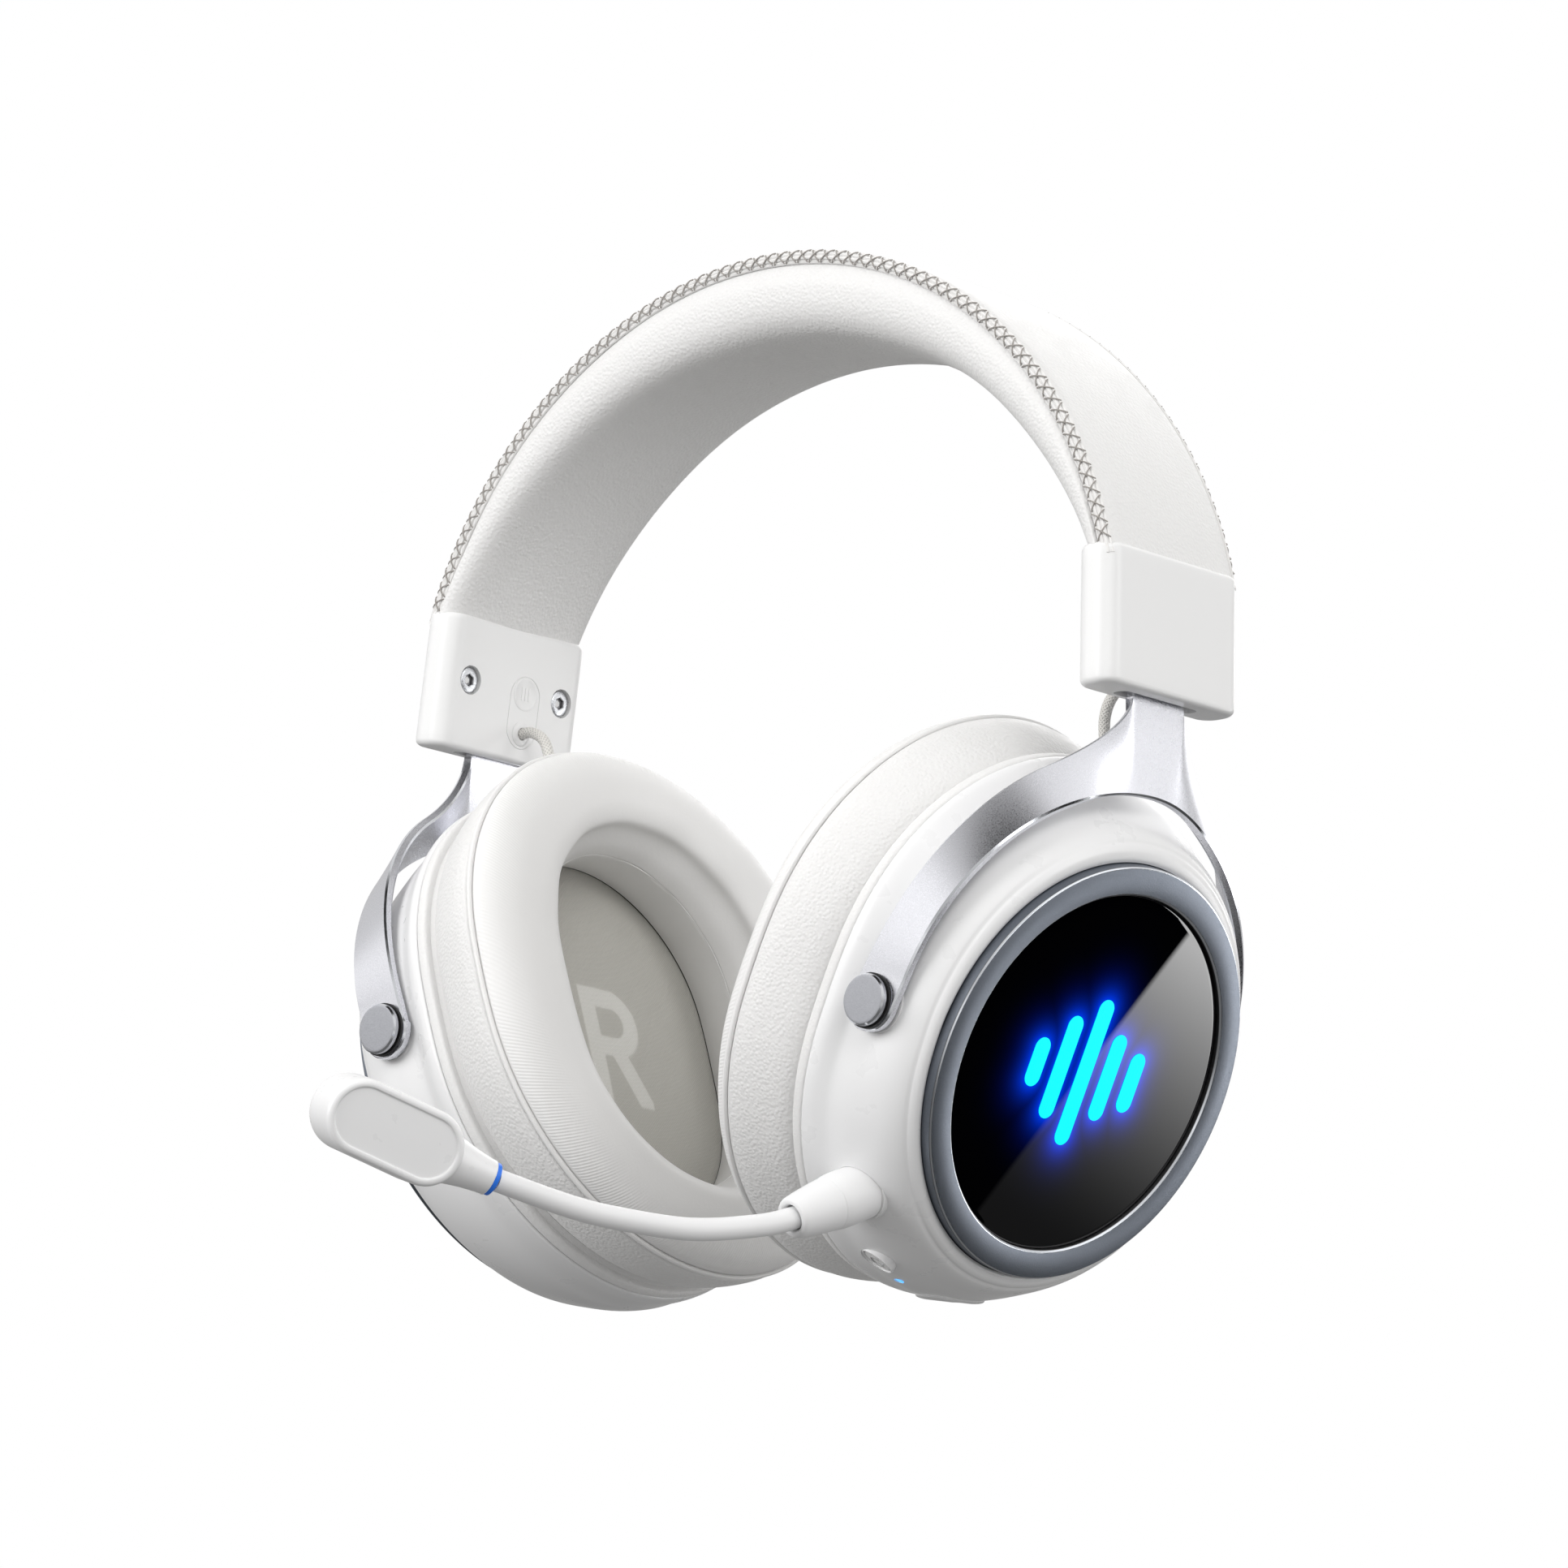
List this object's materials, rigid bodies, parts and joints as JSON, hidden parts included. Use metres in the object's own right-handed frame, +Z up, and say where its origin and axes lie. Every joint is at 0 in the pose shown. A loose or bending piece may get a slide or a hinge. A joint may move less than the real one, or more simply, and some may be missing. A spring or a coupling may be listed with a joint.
{
  "type": "gaming headset",
  "caption": "Over-ear wireless gaming headset with a stitched padded headband, sliding metal forks, tilting round ear cups with lit glass faces and a detachable boom microphone.",
  "frame": {"origin": "underside of the headband cushion at its middle, where it rests on the head", "axes": "+X towards the wearer's left (the microphone side), -Y towards the front, +Z up"},
  "size_m": [0.1702, 0.1863, 0.1911],
  "materials": {
    "accent_blue": "blue",
    "badge": "raised plain ring",
    "baffle": "black",
    "battery": "foil pouch",
    "bezel_slate": "slate bead-blasted, bright chamfers",
    "board": "green circuit board",
    "boom_white": "soft white",
    "braid": "braided beige cable",
    "button_white": "white",
    "cap_steel": "bead-blasted dark satin",
    "capsule_white": "white satin",
    "cloth": "woven grey-beige",
    "diaphragm": "film",
    "driver": "dark",
    "face_glass": "black polished",
    "fork_steel": "satin bead-blasted",
    "grommet": "soft beige grommet",
    "guide_plastic": "grey nylon",
    "headband_leather": "pebbled white leatherette",
    "housing_white": "white satin gloss",
    "light_mark": "glowing cyan",
    "mic_socket": "black",
    "pad_leather": "pebbled white leatherette",
    "pad_ring": "black",
    "plug": "gold-coloured",
    "rim_leather": "fine textured white band",
    "screw_steel": "steel screws",
    "shell_white": "white gloss",
    "socket_steel": "steel shell",
    "spring_steel": "spring steel",
    "status_led": "lit blue",
    "washer": "black",
    "wheel_white": "white ribbed"
  },
  "bodies": {
    "headband": {"headband_cover": "headband_leather", "headband_cushion": "headband_leather", "headband_spring": "spring_steel", "slider_housing_left": "housing_white", "slider_housing_right": "housing_white", "slider_cover_left": "housing_white", "slider_cover_right": "housing_white", "slider_guide_left": "guide_plastic", "slider_guide_right": "guide_plastic", "slider_screws_left": "screw_steel", "slider_screws_right": "screw_steel", "cable_grommet_left": "grommet", "cable_grommet_right": "grommet", "badge_ring_left": "badge", "badge_ring_right": "badge", "side_cable_upper_left": "braid", "side_cable_upper_right": "braid"},
    "fork_left": {"fork_left": "fork_steel"},
    "fork_right": {"fork_right": "fork_steel"},
    "cup_left": {"pivot_bolts_left": "cap_steel", "pivot_washers_left": "washer", "side_cable_lower_left": "braid", "cup_shell_left": "shell_white", "bezel_ring_left": "bezel_slate", "face_glass_left": "face_glass", "light_mark_left": "light_mark", "led_board_left": "board", "rim_band_left": "rim_leather", "baffle_left": "baffle", "driver_left": "driver", "diaphragm_left": "diaphragm", "pad_ring_left": "pad_ring", "speaker_cloth_left": "cloth", "ear_pad_left": "pad_leather", "main_board": "board", "status_led": "status_led", "usb_socket": "socket_steel", "mic_socket": "mic_socket"},
    "cup_right": {"pivot_bolts_right": "cap_steel", "pivot_washers_right": "washer", "side_cable_lower_right": "braid", "cup_shell_right": "shell_white", "bezel_ring_right": "bezel_slate", "face_glass_right": "face_glass", "light_mark_right": "light_mark", "led_board_right": "board", "rim_band_right": "rim_leather", "baffle_right": "baffle", "driver_right": "driver", "diaphragm_right": "diaphragm", "pad_ring_right": "pad_ring", "speaker_cloth_right": "cloth", "ear_pad_right": "pad_leather", "battery": "battery"},
    "power_button": {"power_button": "button_white"},
    "volume_wheel": {"volume_wheel": "wheel_white"},
    "microphone": {"mic_plug": "plug", "mic_boom": "boom_white", "mic_capsule": "capsule_white", "mic_accent_ring": "accent_blue"}
  },
  "joints": [
    {"name": "left_slider", "type": "slide", "parent": "headband", "child": "fork_left", "axis": [0.0663, 0, -0.9978], "range_m": [0, 0.018]},
    {"name": "right_slider", "type": "slide", "parent": "headband", "child": "fork_right", "axis": [-0.0663, 0, -0.9978], "range_m": [0, 0.018]},
    {"name": "left_cup_tilt", "type": "hinge", "parent": "fork_left", "child": "cup_left", "pos_m": [0.05861, 0, -0.12996], "axis": [0, 1, 0], "range_deg": [-14, 6]},
    {"name": "right_cup_tilt", "type": "hinge", "parent": "fork_right", "child": "cup_right", "pos_m": [-0.05861, 0, -0.12996], "axis": [0, -1, 0], "range_deg": [-14, 6]},
    {"name": "power_button_press", "type": "slide", "parent": "cup_left", "child": "power_button", "axis": [0.3192, 0.4384, 0.8402], "range_m": [0, 0.0006], "stiffness_N_per_m": 900, "springref_m": -0.0005},
    {"name": "volume_wheel_turn", "type": "hinge", "parent": "cup_left", "child": "volume_wheel", "pos_m": [0.04739, 0.029, -0.15529], "axis": [0.9348, 0, -0.3551], "continuous": true},
    {"name": "microphone_unplug", "type": "slide", "parent": "cup_left", "child": "microphone", "axis": [-0.1382, -0.903, -0.4067], "range_m": [0, 0.014]}
  ]
}
